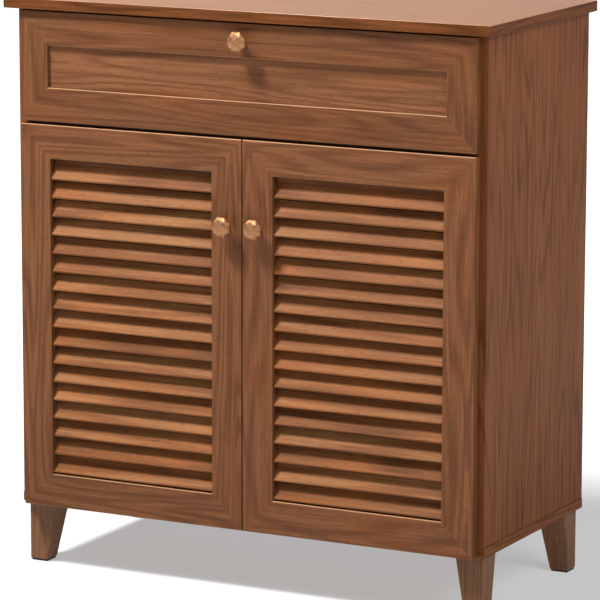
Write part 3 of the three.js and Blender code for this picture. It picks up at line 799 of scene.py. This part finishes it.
screws = {"case": [], "drawer": [], "left_door": [], "right_door": []}
for side, sign in (("left", -1), ("right", 1)):
    for level in ("lower", "upper"):
        low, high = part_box(f"{side}_{level}_hinge_arm")
        wall = high.x if sign > 0 else low.x
        middle_z = (low.z + high.z) / 2
        low_cup, high_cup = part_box(f"{side}_door_{level}_hinge_cup")
        cup_x = (low_cup.x + high_cup.x) / 2
        for up_down in (-1, 1):
            arm_z = middle_z + up_down * ARM_SCREW_SPREAD
            cup_z = middle_z + up_down * CUP_SCREW_SPREAD
            arm_place = (wall - sign * PAD_THICKNESS, high.y - ARM_SCREW_SETBACK, arm_z)
            screws["case"].append((arm_place, (-sign, 0, 0)))
            screws[f"{side}_door"].append(((cup_x, high_cup.y, cup_z), (0, 1, 0)))
    low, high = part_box(f"{side}_drawer_runner")
    plate_x = (low.x if sign > 0 else high.x) + sign * RUNNER_SHEET
    for share in RUNNER_SCREW_SHARES:
        place = (plate_x, low.y + share * (high.y - low.y), low.z + RUNNER_SCREW_HEIGHT)
        screws["drawer"].append((place, (sign, 0, 0)))
for owner, stile in (("drawer", "top_rail"), ("left_door", "right_stile"), ("right_door", "left_stile")):
    low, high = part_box(f"{owner}_knob")
    rear_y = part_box(f"{owner}_{stile}")[1].y
    screws[owner].append((((low.x + high.x) / 2, rear_y, (low.z + high.z) / 2), (0, 1, 0)))
for owner, spots in screws.items():
    mesh = made_by(screw_tree, f"{owner}_screws", {
        "Head radius": HEAD_RADIUS, "Head height": HEAD_HEIGHT, "Material": zinc_steel},
        points_facing(f"{owner}_screw_points", spots))
    flat_or_smooth(mesh)
    finish_piece(f"{owner}_screws", mesh, None, owner, ())
    print(owner, "screws:", len(spots), "and", len(mesh.polygons), "faces")

pin_nodes = [name for name in nodes if "_pin_" in name]
wall_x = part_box("shelf_1")[1].x + SHELF_PLAY
spots = []
for name in pin_nodes:
    low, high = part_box(name)
    sign = 1 if low.x > 0 else -1
    spots.append(((sign * wall_x, (low.y + high.y) / 2, (low.z + high.z) / 2), (-sign, 0, 0)))
low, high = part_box(pin_nodes[0])
pin_radius = (high.z - low.z) / 2
pin_out = wall_x - min(abs(low.x), abs(high.x))
pin_in = max(abs(low.x), abs(high.x)) - wall_x
mesh = made_by(pin_tree, "shelf_pins", {
    "Radius": pin_radius, "In wall": pin_in, "Out": pin_out, "Collar": COLLAR_RADIUS,
    "Material": zinc_steel},
    points_facing("shelf_pin_points", spots))
flat_or_smooth(mesh)
finish_piece("shelf_pins", mesh, None, "case", pin_nodes)
print("shelf pins:", len(spots), "of radius", round(pin_radius / MM, 2), "mm,",
      round(pin_out / MM, 1), "mm proud")

# %% [markdown]
# ## Floor and light
#
# A studio set: a white floor that runs out of sight and three soft lights. The key is compact and stands
# high on the left, so it throws each slat's shadow on to the next and gives the knobs soft-edged ones.
# The fill is wide and weak, on the right, and a broad faint light behind gives the top its sheen. A
# bright sky would be simpler, but it would light the dark gaps between the slats. The floor glows by
# itself, less so close to the cabinet, where the shadow has to show.

# %% Floor and light
scene = bpy.context.scene
scene.view_settings.view_transform = "Standard"
floor_mesh = bpy.data.meshes.new("studio_floor")
FLOOR_REACH = 40.0
floor_corners = [(x * FLOOR_REACH, y * FLOOR_REACH, 0) for x, y in ((-1, -1), (1, -1), (1, 1), (-1, 1))]
floor_mesh.from_pydata(floor_corners, [], [(0, 1, 2, 3)])
floor = bpy.data.objects.new("studio_floor", floor_mesh)
scene.collection.objects.link(floor)
paper = bpy.data.materials.new("White_paper_sweep")
paper.use_nodes = True
paper_shader = paper.node_tree.nodes["Principled BSDF"]
paper_shader.inputs["Base Color"].default_value = (0.4, 0.4, 0.4, 1)
paper_shader.inputs["Roughness"].default_value = 0.9
paper_shader.inputs["Specular IOR Level"].default_value = 0.1
paper_shader.inputs["Emission Color"].default_value = (1, 1, 1, 1)
spot = add(paper.node_tree, "ShaderNodeTexCoord").outputs["Object"]
away = add(paper.node_tree, "ShaderNodeVectorMath", {0: spot}, operation="LENGTH").outputs["Value"]
glow = add(paper.node_tree, "ShaderNodeMapRange", {
    "Value": away, "From Min": 0.75, "From Max": 1.6, "To Min": 0.4, "To Max": 1.0})
paper.node_tree.links.new(glow.outputs[0], paper_shader.inputs["Emission Strength"])
floor_mesh.materials.append(paper)

world = bpy.data.worlds.new("studio")
world.use_nodes = True
world.node_tree.nodes["Background"].inputs["Color"].default_value = (1, 1, 1, 1)
world.node_tree.nodes["Background"].inputs["Strength"].default_value = 0.08
scene.world = world

middle = (cad_box[0] + cad_box[1]) / 2


def softbox(name, azimuth, elevation, distance, width, height, watts):
    """An area light that looks at the cabinet; azimuth runs from the front towards the right."""
    light = bpy.data.lights.new(name, "AREA")
    light.shape = "ELLIPSE"
    light.size = width
    light.size_y = height
    light.energy = watts
    lamp = bpy.data.objects.new(name, light)
    a, e = math.radians(azimuth), math.radians(elevation)
    away = Vector((math.sin(a) * math.cos(e), -math.cos(a) * math.cos(e), math.sin(e)))
    lamp.location = middle + away * distance
    lamp.rotation_mode = "QUATERNION"
    lamp.rotation_quaternion = (-away).to_track_quat("-Z", "Y")
    lamp.visible_camera = False
    scene.collection.objects.link(lamp)


softbox("key", azimuth=-42, elevation=59, distance=4.0, width=0.7, height=0.9, watts=325)
softbox("fill", azimuth=72, elevation=34, distance=3.2, width=2.0, height=1.6, watts=50)
softbox("backdrop", azimuth=-153, elevation=15, distance=3.2, width=3.2, height=1.2, watts=9)

# %% [markdown]
# ## Camera
#
# The camera stands nearly six metres off, to the right and a little above, and looks through a long lens,
# so that upright edges stay almost parallel. Its turn is built from the three directions ahead, right and
# up, which can be checked one by one, instead of from Euler angles, which depend on their order.

# %% Camera
YAW = math.radians(27.37)
PITCH = math.radians(10.61)
ROLL = math.radians(0.11)
STAND = (2.653, -5.113, 1.494)
LENS_MM = 233.2

camera = bpy.data.objects.new("camera", bpy.data.cameras.new("camera"))
camera.data.lens = LENS_MM
camera.data.sensor_width = 36.0
camera.data.clip_end = 200.0
ahead = Vector((-math.sin(YAW) * math.cos(PITCH), math.cos(YAW) * math.cos(PITCH), -math.sin(PITCH)))
right = Vector((math.cos(YAW), math.sin(YAW), 0))
up = right.cross(ahead)
right, up = (math.cos(ROLL) * right + math.sin(ROLL) * up, math.cos(ROLL) * up - math.sin(ROLL) * right)
camera.location = STAND
camera.rotation_mode = "QUATERNION"
camera.rotation_quaternion = Matrix((right, up, -ahead)).transposed().to_quaternion()
scene.collection.objects.link(camera)
scene.camera = camera
print("camera distance:", round((camera.location - middle).length, 2), "m")

# %% [markdown]
# ## Sizes
#
# The dressed cabinet has to fill the same box as its CAD model; the CAD box, measured at the start, is
# printed here.

# %% Sizes
print("cad ", [round(v / MM, 2) for c in cad_box for v in c])
